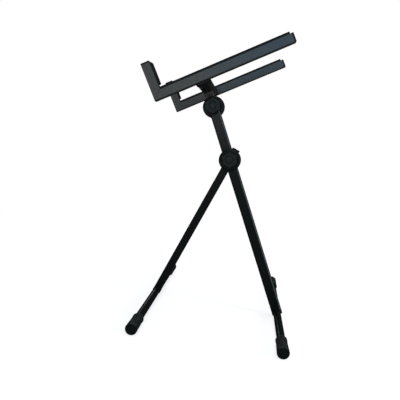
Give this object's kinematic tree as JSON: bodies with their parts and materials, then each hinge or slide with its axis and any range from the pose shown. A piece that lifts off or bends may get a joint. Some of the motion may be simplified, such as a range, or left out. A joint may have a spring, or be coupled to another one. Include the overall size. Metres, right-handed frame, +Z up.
{
  "type": "folding mixer stand",
  "caption": "Folding A-frame stand with a leaning tube and a tilting, width-adjustable pair of L-shaped padded arms that hold a mixer or other flat equipment.",
  "frame": {"origin": "on the floor, at the middle of the whole stand's bounding box in X and Y, as it stands set up", "axes": "+Z up; -X towards the user, where the lips are; +Y towards the user's left, across the arms"},
  "size_m": [0.5752, 0.75, 0.9747],
  "materials": {
    "black_coat": "semi-gloss black powder coat on steel tube",
    "hub_plastic": "satin black glass-filled nylon",
    "knob_plastic": "satin black moulded plastic",
    "plug_plastic": "satin black moulded plastic",
    "foot_rubber": "ribbed matt black rubber",
    "pad_rubber": "matt black rubber strip",
    "zinc_steel": "zinc-plated steel",
    "brass": "turned brass",
    "friction_fibre": "pressed friction fibre"
  },
  "bodies": {
    "rear_frame": {"main_tube": "black_coat", "main_tube_plug": "plug_plastic", "rear_crossbar": "black_coat", "rear_foot_right": "foot_rubber", "rear_foot_left": "foot_rubber", "upper_fixed_disc": "hub_plastic", "upper_stop_pin": "zinc_steel", "upper_friction_ring": "friction_fibre", "upper_bolt": "zinc_steel", "upper_spacer": "hub_plastic", "lower_fixed_disc": "hub_plastic", "lower_stop_pin": "zinc_steel", "lower_friction_ring": "friction_fibre", "lower_bolt": "zinc_steel", "lower_hub_cap": "hub_plastic"},
    "front_leg": {"front_leg_tube": "black_coat", "front_leg_plug": "plug_plastic", "front_crossbar": "black_coat", "front_foot_right": "foot_rubber", "front_foot_left": "foot_rubber", "lower_moving_disc": "hub_plastic", "lower_back_washer": "zinc_steel"},
    "head": {"neck_tube": "black_coat", "neck_plug": "plug_plastic", "upper_moving_disc": "hub_plastic", "upper_back_washer": "zinc_steel", "sleeve": "black_coat", "right_sleeve_collar": "plug_plastic", "left_sleeve_collar": "plug_plastic", "right_weld_nut": "black_coat", "left_weld_nut": "black_coat"},
    "right_arm": {"right_rail": "black_coat", "right_lip": "black_coat", "right_slide_tube": "black_coat", "right_slide_plug": "plug_plastic", "right_rail_pad": "pad_rubber", "right_lip_pad": "pad_rubber", "right_rail_cap": "plug_plastic", "right_lip_cap": "plug_plastic"},
    "left_arm": {"left_rail": "black_coat", "left_lip": "black_coat", "left_slide_tube": "black_coat", "left_slide_plug": "plug_plastic", "left_rail_pad": "pad_rubber", "left_lip_pad": "pad_rubber", "left_rail_cap": "plug_plastic", "left_lip_cap": "plug_plastic"},
    "upper_knob": {"upper_knob": "knob_plastic", "upper_knob_insert": "brass"},
    "lower_knob": {"lower_knob": "knob_plastic", "lower_knob_insert": "brass"},
    "right_lock": {"right_lock_knob": "knob_plastic", "right_lock_screw": "zinc_steel"},
    "left_lock": {"left_lock_knob": "knob_plastic", "left_lock_screw": "zinc_steel"}
  },
  "joints": [
    {"name": "leg_fold", "type": "hinge", "parent": "rear_frame", "child": "front_leg", "pos_m": [0.02417, 0, 0.55856], "axis": [0, -1, 0], "range_deg": [0, 42.91]},
    {"name": "head_tilt", "type": "hinge", "parent": "rear_frame", "child": "head", "pos_m": [-0.05863, 0, 0.74281], "axis": [0, 1, 0], "range_deg": [-60, 93.9]},
    {"name": "right_arm_slide", "type": "slide", "parent": "head", "child": "right_arm", "axis": [0, -1, 0], "range_m": [-0.0115, 0.115]},
    {"name": "left_arm_slide", "type": "slide", "parent": "head", "child": "left_arm", "axis": [0, 1, 0], "range_m": [-0.0115, 0.115]},
    {"name": "upper_knob_turn", "type": "hinge", "parent": "rear_frame", "child": "upper_knob", "pos_m": [-0.05863, 0, 0.74281], "axis": [0, -1, 0], "range_deg": [0, 540]},
    {"name": "lower_knob_turn", "type": "hinge", "parent": "rear_frame", "child": "lower_knob", "pos_m": [0.02417, 0, 0.55856], "axis": [0, -1, 0], "range_deg": [0, 540]},
    {"name": "right_lock_turn", "type": "hinge", "parent": "head", "child": "right_lock", "pos_m": [-0.08316, -0.1608, 0.7983], "axis": [0.471, 0, -0.8821], "range_deg": [0, 540]},
    {"name": "left_lock_turn", "type": "hinge", "parent": "head", "child": "left_lock", "pos_m": [-0.08316, 0.1608, 0.7983], "axis": [0.471, 0, -0.8821], "range_deg": [0, 540]}
  ]
}
